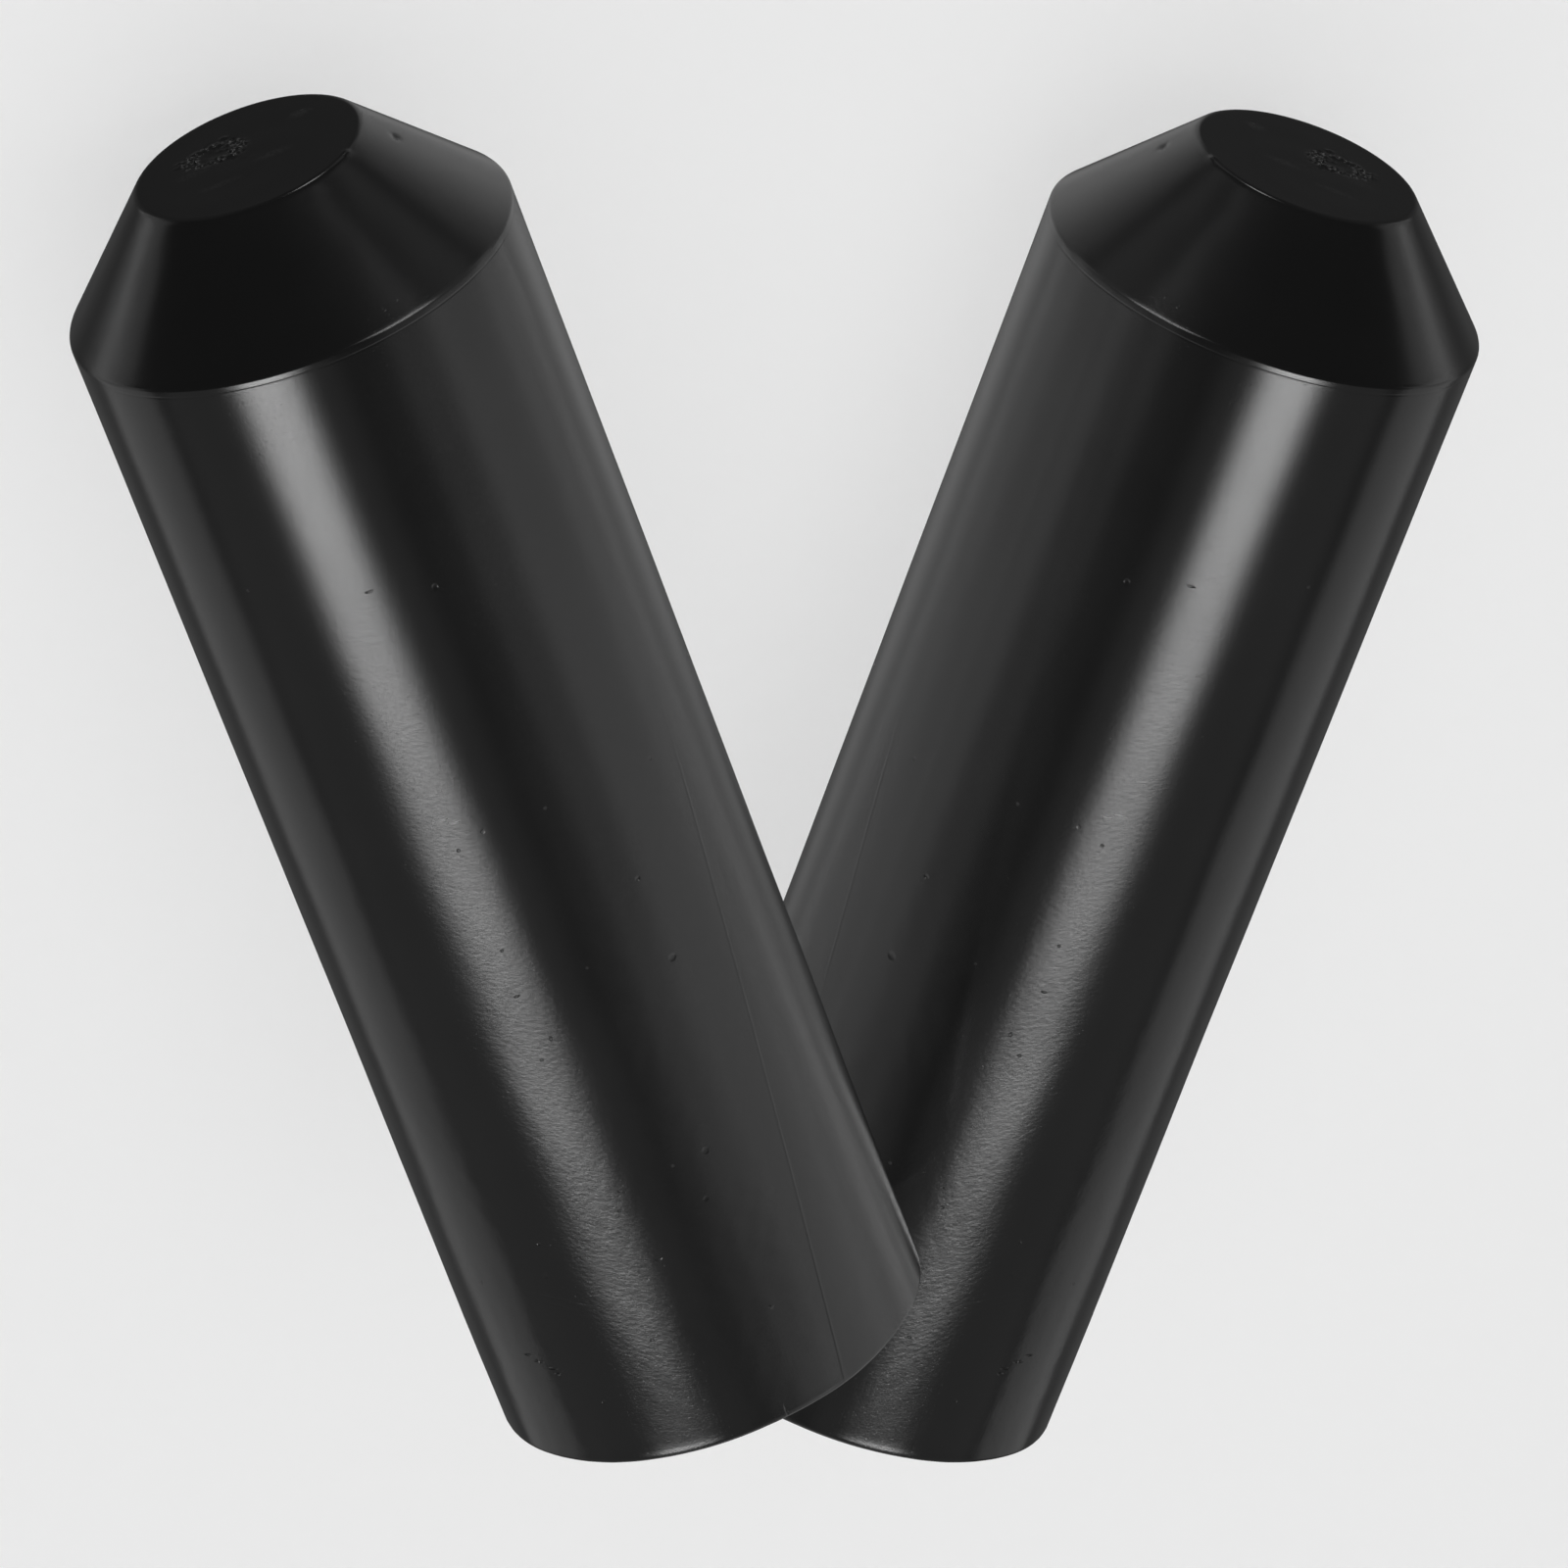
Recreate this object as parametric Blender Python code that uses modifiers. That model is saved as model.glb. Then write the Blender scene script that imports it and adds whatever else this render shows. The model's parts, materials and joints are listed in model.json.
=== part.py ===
"""A pair of heat-shrink end caps for sealing cable ends, one lying on the floor and one resting across it.

Each cap is a one-piece moulded shell: a thin expanded sleeve, open at its mouth and closed by a thick
truncated cone. A helical band of hot-melt adhesive lines the sleeve. The caps lie in a V that opens
towards +Y: the lower cap on its side, the upper one with its shoulder on the floor and its mouth end on
the lower cap. The origin is at the bottom centre of the pair. Units are metres, +Z is up.
"""

import math

import bmesh
import bpy
from mathutils import Euler, Vector

MM = 0.001

# One cap, along its own axis: z = 0 at the mouth, and the flat tip at CAP_LENGTH.
CAP_LENGTH = 131.0 * MM
CONE_HEIGHT = 11.7 * MM
SHOULDER_Z = CAP_LENGTH - CONE_HEIGHT
SHOULDER_RADIUS = 21.5 * MM
SHOULDER_RING_WIDTH = 0.6 * MM
SLEEVE_TOP_RADIUS = 21.25 * MM
SLEEVE_LOW_RADIUS = 20.9 * MM
LIP_RADIUS = 21.1 * MM
LIP_HEIGHT = 2.0 * MM
TIP_RADIUS = 10.95 * MM
STEP_HEIGHT = 0.6 * MM

# The inside: a straight bore, then a hollow that narrows inside the thick cone.
WALL = 1.6 * MM
BORE_RADIUS = SLEEVE_LOW_RADIUS - WALL
BORE_DEPTH = SHOULDER_Z - 8.0 * MM
HOLLOW_END_RADIUS = 7.5 * MM
HOLLOW_DEPTH = CAP_LENGTH - 4.2 * MM

TIP_EDGE_ROUND = 0.7 * MM
LIP_ROUND = 0.3 * MM
HOLLOW_ROUND = 1.2 * MM
FILLET_STEPS = 2
TURN_STEPS = 40

# The adhesive band, wound inside the bore.
CLEARANCE = 0.3 * MM
BAND_THICKNESS = 0.8 * MM
BAND_WIDTH = 8.0 * MM
BAND_PITCH = 12.0 * MM
BAND_START = 5.0 * MM
BAND_TURNS = 7.5
BAND_STEPS_PER_TURN = 36

# How the caps lie. The upper mouth's place is measured from the lower mouth, along and beside its axis.
SPREAD = math.radians(36.3)
UPPER_MOUTH_ALONG = 14.1 * MM
UPPER_MOUTH_ASIDE = 32.6 * MM
RING_SAMPLES = 360
CROSSING_LENGTH = 40.0 * MM
CROSSING_RINGS = 16
BISECTIONS = 24

SHELL_COLOUR = (0.018, 0.018, 0.018, 1.0)
ADHESIVE_COLOUR = (0.42, 0.24, 0.075, 1.0)


def clear_scene():
    for item in list(bpy.data.objects):
        bpy.data.objects.remove(item, do_unlink=True)


def new_material(name, colour, roughness):
    material = bpy.data.materials.new(name)
    material.use_nodes = True
    material.diffuse_color = colour
    shader = material.node_tree.nodes["Principled BSDF"]
    shader.inputs["Base Color"].default_value = colour
    shader.inputs["Roughness"].default_value = roughness
    shader.inputs["Metallic"].default_value = 0.0
    return material


def fillet(before, corner, after, radius):
    """Points of an arc of this radius that rounds the corner between two straight runs, as (r, z)."""
    into = (Vector(before) - Vector(corner)).normalized()
    out = (Vector(after) - Vector(corner)).normalized()
    half = into.angle(out) / 2
    centre = Vector(corner) + (into + out).normalized() * radius / math.sin(half)
    start = (Vector(corner) + into * radius / math.tan(half) - centre) / radius
    end = (Vector(corner) + out * radius / math.tan(half) - centre) / radius
    return [tuple(centre + start.slerp(end, i / FILLET_STEPS) * radius) for i in range(FILLET_STEPS + 1)]


def rounded(corners):
    """The outline through (r, z, rounding) corners, each replaced by its arc where it has a rounding."""
    points = []
    for index, (r, z, rounding) in enumerate(corners):
        if rounding:
            points += fillet(corners[index - 1][:2], (r, z), corners[index + 1][:2], rounding)
        else:
            points.append((r, z))
    return points


def shell_profile():
    """The shell's half section, from the tip's centre down the outside and back up the bore."""
    ring_bottom = SHOULDER_Z - SHOULDER_RING_WIDTH
    return rounded(
        [
            (0.0, CAP_LENGTH, 0.0),
            (TIP_RADIUS, CAP_LENGTH, TIP_EDGE_ROUND),
            (SHOULDER_RADIUS, SHOULDER_Z, 0.0),
            (SHOULDER_RADIUS, ring_bottom, 0.0),
            (SLEEVE_TOP_RADIUS, ring_bottom - STEP_HEIGHT, 0.0),
            (SLEEVE_LOW_RADIUS, LIP_HEIGHT + STEP_HEIGHT, 0.0),
            (LIP_RADIUS, LIP_HEIGHT, 0.0),
            (LIP_RADIUS, 0.0, LIP_ROUND),
            (BORE_RADIUS, 0.0, LIP_ROUND),
            (BORE_RADIUS, BORE_DEPTH, 0.0),
            (HOLLOW_END_RADIUS, HOLLOW_DEPTH, HOLLOW_ROUND),
            (0.0, HOLLOW_DEPTH, 0.0),
        ]
    )


def sleeve_radius(z):
    """The sleeve's outer radius, which widens a little from the mouth to the shoulder."""
    return SLEEVE_LOW_RADIUS + (SLEEVE_TOP_RADIUS - SLEEVE_LOW_RADIUS) * z / SHOULDER_Z


def turned_mesh(name, profile):
    """A profile in the XZ plane, which a Screw modifier on its object turns about Z."""
    mesh = bpy.data.meshes.new(name)
    points = [(r, 0.0, z) for r, z in profile]
    mesh.from_pydata(points, [(i, i + 1) for i in range(len(points) - 1)], [])
    return mesh


def add_turning(item):
    screw = item.modifiers.new("turning", "SCREW")
    screw.steps = TURN_STEPS
    screw.render_steps = TURN_STEPS
    screw.use_merge_vertices = True
    screw.merge_threshold = 0.00001
    screw.use_smooth_shade = True


def band_mesh(name):
    """A flat band with square edges, wound as a helix about Z, its face CLEARANCE inside the bore."""
    outer = BORE_RADIUS - CLEARANCE
    inner = outer - BAND_THICKNESS
    steps = round(BAND_TURNS * BAND_STEPS_PER_TURN)
    bm = bmesh.new()
    corners = [(inner, 0), (outer, 0), (outer, BAND_WIDTH), (inner, BAND_WIDTH)]
    section = bm.faces.new([bm.verts.new((r, 0.0, BAND_START + z)) for r, z in corners])
    bmesh.ops.spin(
        bm,
        geom=[section, *section.edges, *section.verts],
        cent=(0, 0, 0),
        axis=(0, 0, 1),
        dvec=(0, 0, BAND_PITCH / BAND_STEPS_PER_TURN),
        angle=math.tau * BAND_TURNS,
        steps=steps,
    )
    bmesh.ops.recalc_face_normals(bm, faces=bm.faces)
    mesh = bpy.data.meshes.new(name)
    bm.to_mesh(mesh)
    bm.free()
    mesh.shade_smooth()
    mesh.set_sharp_from_angle(angle=math.radians(30))
    return mesh


def cap_rotation(heading, climb):
    """Turns a cap's own +Z to this heading, from +Y towards +X, and this climb above the floor."""
    return Euler((climb - math.pi / 2, 0.0, -heading))


class Pose:
    """Where a cap lies: the centre of its mouth and its axes."""

    def __init__(self, mouth, heading, climb):
        self.mouth = mouth
        self.rotation = cap_rotation(heading, climb)
        self.turn = self.rotation.to_matrix()
        self.axis = self.turn @ Vector((0, 0, 1))

    def ring(self, radius, z):
        for step in range(RING_SAMPLES):
            angle = math.tau * step / RING_SAMPLES
            yield self.mouth + self.turn @ Vector((radius * math.cos(angle), radius * math.sin(angle), z))


def lower_pose():
    """Flat on the floor, on its lip and its shoulder ring."""
    climb = math.atan((SHOULDER_RADIUS - LIP_RADIUS) / SHOULDER_Z)
    return Pose(Vector((0, 0, LIP_RADIUS * math.cos(climb))), SPREAD / 2, climb)


def upper_pose(lower, tilt):
    """Shoulder ring on the floor, and the mouth raised by this tilt."""
    aside = Vector((-math.cos(SPREAD / 2), math.sin(SPREAD / 2), 0))
    ahead = Vector((math.sin(SPREAD / 2), math.cos(SPREAD / 2), 0))
    mouth = lower.mouth + ahead * UPPER_MOUTH_ALONG + aside * UPPER_MOUTH_ASIDE
    mouth.z = SHOULDER_RADIUS * math.cos(tilt) + SHOULDER_Z * math.sin(tilt)
    return Pose(mouth, -SPREAD / 2, -tilt)


def gap_to_sleeve(pose, lower):
    """The least distance from the upper cap's sleeve, near its mouth, to the lower cap's sleeve."""
    least = math.inf
    for ring in range(CROSSING_RINGS + 1):
        z = CROSSING_LENGTH * ring / CROSSING_RINGS
        for point in pose.ring(max(LIP_RADIUS, sleeve_radius(z)), z):
            offset = point - lower.mouth
            along = offset.dot(lower.axis)
            if along > 0:
                radius = max(LIP_RADIUS, sleeve_radius(along))
                least = min(least, (offset - lower.axis * along).length - radius)
    return least


def resting_pose(lower):
    """The upper cap's pose with its sleeve CLEARANCE above the lower cap."""
    low, high = 0.0, math.radians(30)
    for _ in range(BISECTIONS):
        tilt = (low + high) / 2
        if gap_to_sleeve(upper_pose(lower, tilt), lower) < CLEARANCE:
            low = tilt
        else:
            high = tilt
    return upper_pose(lower, high)


def plan_centre(poses):
    """The middle of the box around both caps, seen from above."""
    rings = [(LIP_RADIUS, 0.0), (SHOULDER_RADIUS, SHOULDER_Z), (TIP_RADIUS, CAP_LENGTH)]
    points = [point for pose in poses for radius, z in rings for point in pose.ring(radius, z)]
    sides = [[point[i] for point in points] for i in (0, 1)]
    return Vector([(min(side) + max(side)) / 2 for side in sides] + [0])


def add_object(collection, name, data, material=None, parent=None):
    item = bpy.data.objects.new(name, data)
    collection.objects.link(item)
    if material:
        data.materials.clear()
        data.materials.append(material)
    item.parent = parent
    return item


def add_cap(collection, name, pose, centre, shell_material, adhesive_material):
    """One cap: an empty at its mouth's centre, and its shell and adhesive parented to it."""
    holder = add_object(collection, name, None)
    holder.empty_display_size = SHOULDER_RADIUS
    holder.location = pose.mouth - centre
    holder.rotation_euler = pose.rotation
    shell_name = name + "_shell"
    shell = add_object(collection, shell_name, turned_mesh(shell_name, shell_profile()), shell_material, holder)
    add_turning(shell)
    band_name = name + "_adhesive"
    add_object(collection, band_name, band_mesh(band_name), adhesive_material, holder)


def main():
    clear_scene()
    collection = bpy.data.collections.new("heat_shrink_end_caps")
    bpy.context.scene.collection.children.link(collection)
    lower = lower_pose()
    upper = resting_pose(lower)
    centre = plan_centre([lower, upper])
    shell_material = new_material("cap_polymer", SHELL_COLOUR, 0.38)
    adhesive_material = new_material("hot_melt_adhesive", ADHESIVE_COLOUR, 0.45)
    for name, pose in (("lower_cap", lower), ("upper_cap", upper)):
        add_cap(collection, name, pose, centre, shell_material, adhesive_material)


main()
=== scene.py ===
"""Looks for a pair of heat-shrink end caps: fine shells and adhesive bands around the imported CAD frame.

Each cap has its own upright frame, worked out from its tip mount: X points from the axis towards the
camera, Y across the view, and Z along the axis from the mouth (z = 0) to the tip. The caps mirror each
other, so Y is counted towards the image's right on the upper cap and towards its left on the lower one.
Azimuths are measured from X towards Y. Lengths are metres.
"""

import json
import math

import bpy
import numpy as np
from mathutils import Matrix, Quaternion, Vector

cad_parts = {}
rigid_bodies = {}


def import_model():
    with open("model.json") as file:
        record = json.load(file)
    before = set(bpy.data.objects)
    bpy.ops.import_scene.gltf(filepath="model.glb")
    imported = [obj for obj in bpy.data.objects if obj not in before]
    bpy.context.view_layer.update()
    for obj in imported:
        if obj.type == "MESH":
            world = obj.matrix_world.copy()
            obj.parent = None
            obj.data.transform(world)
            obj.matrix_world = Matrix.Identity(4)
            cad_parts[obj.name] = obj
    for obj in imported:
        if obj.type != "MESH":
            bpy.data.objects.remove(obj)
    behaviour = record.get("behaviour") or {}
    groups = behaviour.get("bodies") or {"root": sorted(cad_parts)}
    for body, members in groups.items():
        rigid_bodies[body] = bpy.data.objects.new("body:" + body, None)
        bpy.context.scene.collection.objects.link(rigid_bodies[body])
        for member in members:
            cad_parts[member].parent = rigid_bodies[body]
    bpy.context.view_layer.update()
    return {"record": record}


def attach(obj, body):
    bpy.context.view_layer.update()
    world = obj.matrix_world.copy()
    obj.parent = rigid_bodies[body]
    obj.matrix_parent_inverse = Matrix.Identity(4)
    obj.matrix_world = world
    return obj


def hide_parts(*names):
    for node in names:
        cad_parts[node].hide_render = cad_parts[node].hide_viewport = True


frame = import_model()

MM = 0.001

# The camera.
VIEW_TARGET = Vector((3.5 * MM, -5.5 * MM, 20.0 * MM))
VIEW_AZIMUTH = math.radians(-34.743)
VIEW_ELEVATION = math.radians(49.453)
VIEW_DISTANCE = 1.7432
VIEW_ROLL = math.radians(140.753)
VIEW_LENS = 423.31
SENSOR_WIDTH = 36
VIEW_CLIP = 20

# One cap, with the CAD's sizes. The neck is a slight bend of the outline, below the shoulder.
CAP_LENGTH = 131.0 * MM
CONE_HEIGHT = 11.7 * MM
SHOULDER_Z = CAP_LENGTH - CONE_HEIGHT
SHOULDER_RADIUS = 21.5 * MM
NECK_Z = SHOULDER_Z - 14.0 * MM
NECK_RADIUS = 21.4 * MM
SLEEVE_LOW_RADIUS = 20.9 * MM
TIP_RADIUS = 10.95 * MM
BORE_RADIUS = 19.3 * MM
BORE_DEPTH = SHOULDER_Z - 8.0 * MM
HOLLOW_END_RADIUS = 7.5 * MM
HOLLOW_DEPTH = CAP_LENGTH - 4.2 * MM

# Roundings of the outline, and how finely it is divided along it and round the axis.
TIP_EDGE_ROUND = 0.85 * MM
SHOULDER_ROUND = 0.5 * MM
LIP_ROUND = 0.35 * MM
BORE_END_ROUND = 2.0 * MM
HOLLOW_ROUND = 1.5 * MM
FILLET_STEPS = 5
SEGMENTS = 320
COARSE = 3.0 * MM
SLEEVE_SPACING = 0.6 * MM
CONE_SPACING = 0.28 * MM
FACE_SPACING = 0.12 * MM
LIP_SPACING = 0.25 * MM
FINE_LIP_HEIGHT = 1.0 * MM

# The adhesive band.
BAND_OUTER = BORE_RADIUS - 0.3 * MM
BAND_THICKNESS = 0.8 * MM
BAND_WIDTH = 8.0 * MM
BAND_PITCH = 12.0 * MM
BAND_START = 5.0 * MM
BAND_TURNS = 7.5
BAND_EDGE_ROUND = 0.7 * MM
BAND_EDGE_SHARE = 0.12
BAND_STEPS_PER_TURN = 120
BAND_PARTS_ACROSS = 12
BAND_SHARP_ANGLE = math.radians(50)


# ---------------------------------------------------------------- camera and caps


def place_camera():
    """A long lens, rolled so that the V stands upright in the picture."""
    away = Vector(
        (
            math.sin(VIEW_AZIMUTH) * math.cos(VIEW_ELEVATION),
            math.cos(VIEW_AZIMUTH) * math.cos(VIEW_ELEVATION),
            math.sin(VIEW_ELEVATION),
        )
    )
    camera = bpy.data.objects.new("camera", bpy.data.cameras.new("camera"))
    bpy.context.scene.collection.objects.link(camera)
    camera.data.lens = VIEW_LENS
    camera.data.sensor_width = SENSOR_WIDTH
    camera.data.clip_end = VIEW_CLIP
    camera.location = VIEW_TARGET + away * VIEW_DISTANCE
    camera.rotation_mode = "QUATERNION"
    camera.rotation_quaternion = away.to_track_quat("Z", "Y") @ Quaternion((0, 0, 1), VIEW_ROLL)
    bpy.context.scene.camera = camera
    return camera


class Cap:
    """Where one cap stands: its mouth's centre and its frame, with side = -1 where it is mirrored."""

    def __init__(self, name, side, eye):
        tip = next(m for m in frame["record"]["mounts"] if m["name"] == name.replace("_cap", "_tip_face"))
        self.name = name
        self.side = side
        self.axis = Vector(tip["axis"]).normalized()
        self.mouth = Vector(tip["pos_m"]) - self.axis * CAP_LENGTH
        sight = (eye - self.mouth - self.axis * CAP_LENGTH / 2).normalized()
        self.lean = math.asin(sight.dot(self.axis))
        self.front = (sight - self.axis * sight.dot(self.axis)).normalized()
        self.across = self.axis.cross(self.front)
        self.objects = []

    def matrix(self):
        turn = Matrix((self.front, self.across, self.axis)).transposed()
        return Matrix.Translation(self.mouth) @ turn.to_4x4()

    def direction(self, azimuth, elevation):
        """A direction by its azimuth, mirrored with the cap, and its elevation towards the tip."""
        flat = self.front * math.cos(azimuth) + self.across * math.sin(azimuth) * self.side
        return flat * math.cos(elevation) + self.axis * math.sin(elevation)


# ---------------------------------------------------------------- outlines


def fillet(before, corner, after, radius, steps=FILLET_STEPS):
    """Points of an arc of this radius that rounds the corner between two straight runs, as (r, z)."""
    into = (Vector(before) - Vector(corner)).normalized()
    out = (Vector(after) - Vector(corner)).normalized()
    half = into.angle(out) / 2
    centre = Vector(corner) + (into + out).normalized() * radius / math.sin(half)
    start = (Vector(corner) + into * radius / math.tan(half) - centre) / radius
    end = (Vector(corner) + out * radius / math.tan(half) - centre) / radius
    return [tuple(centre + start.slerp(end, i / steps) * radius) for i in range(steps + 1)]


def rounded(corners):
    """The outline through (r, z, rounding, spacing) corners; spacing divides the run that follows."""
    points = []
    for index, (r, z, rounding, _) in enumerate(corners):
        if rounding:
            arc = fillet(corners[index - 1][:2], (r, z), corners[index + 1][:2], rounding)
        else:
            arc = [(r, z)]
        if points:
            start, end = Vector(points[-1]), Vector(arc[0])
            spacing = corners[index - 1][3]
            parts = max(1, round((end - start).length / spacing))
            points += [tuple(start.lerp(end, i / parts)) for i in range(1, parts)]
        points += arc
    return points


def shell_outline():
    """From the tip's centre down the outside, round the lip and up the bore."""
    return rounded(
        [
            (0.0, CAP_LENGTH, 0.0, FACE_SPACING),
            (TIP_RADIUS, CAP_LENGTH, TIP_EDGE_ROUND, CONE_SPACING),
            (SHOULDER_RADIUS, SHOULDER_Z, SHOULDER_ROUND, SLEEVE_SPACING),
            (NECK_RADIUS, NECK_Z, 0.0, SLEEVE_SPACING),
            (SLEEVE_LOW_RADIUS, FINE_LIP_HEIGHT, 0.0, LIP_SPACING),
            (SLEEVE_LOW_RADIUS, 0.0, LIP_ROUND, LIP_SPACING),
            (BORE_RADIUS, 0.0, LIP_ROUND, COARSE),
            (BORE_RADIUS, BORE_DEPTH, BORE_END_ROUND, COARSE),
            (HOLLOW_END_RADIUS, HOLLOW_DEPTH, HOLLOW_ROUND, COARSE),
            (0.0, HOLLOW_DEPTH, 0.0, COARSE),
        ]
    )


# ---------------------------------------------------------------- shell relief

# Seeds of the random draws.
SLOW_SEED, QUICK_SEED, CONE_SEED, SCAR_SEED = 3, 4, 5, 11

# Random waves: pairs of turns round the cap and periods along it, and heights. The sleeve's slow waves
# gain height towards the mouth, and its quick ones are only there.
SLOW_WAVES = [(6, 3)] * 4 + [(10, 6)] * 6
SLOW_HEIGHT = 0.012 * MM
SLOW_GAIN = 0.03 * MM
QUICK_WAVES = [(60, 40)] * 26
QUICK_HEIGHT = 0.0035 * MM
CONE_WAVES = [(24, 26)] * 16
CONE_WAVE_HEIGHT = 0.003 * MM
TIP_RING_HEIGHT = 0.006 * MM
TIP_RING_WAVE = 0.9 * MM

# The gate scar on the tip face, and the sizes and heights of its crumbs.
SCAR_CENTRE = (-3.2 * MM, -2.8 * MM)
SCAR_RADIUS = 2.5 * MM
SCAR_SQUASH = 1.5
SCAR_RING_WIDTH = 0.55 * MM
SCAR_RIPPLE = 0.03 * MM
SCAR_RIPPLE_WAVE = 0.22 * MM
SCAR_SINK = 0.05 * MM
SCAR_SINK_RADIUS = 1.3 * MM
CRUMBS = 110
CRUMB_SIZES = (0.16 * MM, 0.40 * MM)
CRUMB_HEIGHTS = (-0.07 * MM, 0.14 * MM)

# The mouth's flare: the azimuths, in degrees, between which it rises and between which it falls again,
# how far it stands out, and how high up the sleeve it starts.
FLARE_RISES, FLARE_FALLS = (-60, -28), (-20, 6)
FLARE_WIDTH = 0.05 * MM
FLARE_HEIGHT = 1.1 * MM

# A nick that stands up on the tip's edge, and a dimple in the cone.
NICK_AZIMUTH = math.radians(51)
NICK_HEIGHT = 0.09 * MM
NICK_RADIUS = 0.4 * MM
DIMPLE_AZIMUTH = math.radians(82)
DIMPLE_Z = 128.3 * MM
DIMPLE_DEPTH = 0.3 * MM
DIMPLE_RADIUS = 0.3 * MM


def smooth(value, low, high):
    t = np.clip((value - low) / (high - low), 0, 1)
    return t * t * (3 - 2 * t)


def blob(distance, radius):
    return np.exp(-((distance / radius) ** 2))


def ripples(azimuth, z, waves, seed):
    """A smooth random field round the cap, made of waves (turns round it, periods along it)."""
    random = np.random.default_rng(seed)
    field = np.zeros(np.broadcast(azimuth, z).shape)
    for around, along in waves:
        turns = random.integers(around // 2, around + 1)
        periods = random.uniform(-along, along)
        phase = random.uniform(0, math.tau)
        field += np.sin(turns * azimuth + math.tau * periods * z / CAP_LENGTH + phase)
    return field / math.sqrt(len(waves))


def gate_scar(x, y):
    """The torn ring left by the injection gate, off the tip's centre, and the crumbs round it."""
    dx, dy = (x - SCAR_CENTRE[0]) * SCAR_SQUASH, y - SCAR_CENTRE[1]
    distance, bearing = np.hypot(dx, dy), np.arctan2(dy, dx)
    ring = blob(distance - SCAR_RADIUS * (1 + 0.18 * np.sin(2 * bearing + 0.6)), SCAR_RING_WIDTH)
    random = np.random.default_rng(SCAR_SEED)
    height = -SCAR_SINK * blob(distance, SCAR_SINK_RADIUS)
    for _ in range(CRUMBS):
        angle = random.uniform(0, math.tau)
        reach = SCAR_RADIUS * random.normal(1.0, 0.3)
        size = random.uniform(*CRUMB_SIZES)
        lift = random.uniform(*CRUMB_HEIGHTS)
        crumb = np.hypot(dx - reach * math.cos(angle), dy - reach * math.sin(angle))
        height += lift * blob(crumb, size)
    height += SCAR_RIPPLE * ring * np.sin(9 * bearing) * np.sin(distance / SCAR_RIPPLE_WAVE)
    return height


def sleeve_relief(azimuth, z):
    """The sleeve's waviness, which grows towards the mouth."""
    on_sleeve = smooth(SHOULDER_Z - z, 1.5 * MM, 9 * MM)
    stretch = smooth(SHOULDER_Z - z, 25 * MM, 105 * MM)
    slow = (SLOW_HEIGHT + SLOW_GAIN * stretch) * ripples(azimuth, z, SLOW_WAVES, SLOW_SEED)
    quick = stretch * QUICK_HEIGHT * ripples(azimuth, z, QUICK_WAVES, QUICK_SEED)
    return on_sleeve * (slow + quick)


def cone_relief(azimuth, z):
    up_cone = smooth(z, SHOULDER_Z, SHOULDER_Z + 1.5 * MM)
    on_cone = up_cone * smooth(CAP_LENGTH - z, 0.3 * MM, 1.5 * MM)
    return on_cone * CONE_WAVE_HEIGHT * ripples(azimuth, z, CONE_WAVES, CONE_SEED)


def tip_relief(azimuth, r, z):
    """The gate scar and faint rings, on the flat face only."""
    on_face = z > CAP_LENGTH - 0.02 * MM
    scar = gate_scar(r * np.cos(azimuth), r * np.sin(azimuth))
    return on_face * (scar + TIP_RING_HEIGHT * np.sin(r / TIP_RING_WAVE + 2 * azimuth))


def lip_relief(azimuth, z):
    """The mouth's slight flare, on one part of its edge."""
    rise = smooth(azimuth, math.radians(FLARE_RISES[0]), math.radians(FLARE_RISES[1]))
    fall = smooth(-azimuth, math.radians(-FLARE_FALLS[1]), math.radians(-FLARE_FALLS[0]))
    return FLARE_WIDTH * smooth(FLARE_HEIGHT - z, 0.0, FLARE_HEIGHT) * rise * fall


def nick_and_dimple(azimuth, r, z):
    from_nick = np.sqrt((r * (azimuth - NICK_AZIMUTH)) ** 2 + (r - TIP_RADIUS) ** 2 + (z - CAP_LENGTH) ** 2)
    from_dimple = np.sqrt((0.6 * r * (azimuth - DIMPLE_AZIMUTH)) ** 2 + (z - DIMPLE_Z) ** 2)
    return NICK_HEIGHT * blob(from_nick, NICK_RADIUS) - DIMPLE_DEPTH * blob(from_dimple, DIMPLE_RADIUS)


def shell_relief(azimuth, r, z):
    """How far each outer point stands out from the plain turned shape, in metres."""
    waves = sleeve_relief(azimuth, z) + cone_relief(azimuth, z)
    return waves + tip_relief(azimuth, r, z) + lip_relief(azimuth, z) + nick_and_dimple(azimuth, r, z)


def shell_points(cap):
    """A row of points round the axis for each point of the outline, then the two ends on the axis."""
    outline = np.array(shell_outline())
    tangent = np.gradient(outline, axis=0)
    normal = np.stack([-tangent[:, 1], tangent[:, 0]], axis=1)
    normal /= np.linalg.norm(normal, axis=1, keepdims=True)
    rows = outline[1:-1]
    r, z = rows[:, :1], rows[:, 1:]
    azimuth = -math.pi + math.tau * np.arange(SEGMENTS) / SEGMENTS
    lip = int(np.argmin(outline[:, 1]))
    outside = (np.arange(1, len(outline) - 1) < lip)[:, None].astype(float)
    relief = outside * shell_relief(azimuth[None, :], r, z)
    radius = r + relief * normal[1:-1, :1]
    height = z + relief * normal[1:-1, 1:]
    places = np.stack([radius * np.cos(azimuth), cap.side * radius * np.sin(azimuth), height], axis=-1)
    centre_height = CAP_LENGTH + float(gate_scar(np.zeros(1), np.zeros(1))[0])
    return np.vstack([places.reshape(-1, 3), [(0, 0, centre_height)], [(0, 0, HOLLOW_DEPTH)]])


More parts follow.
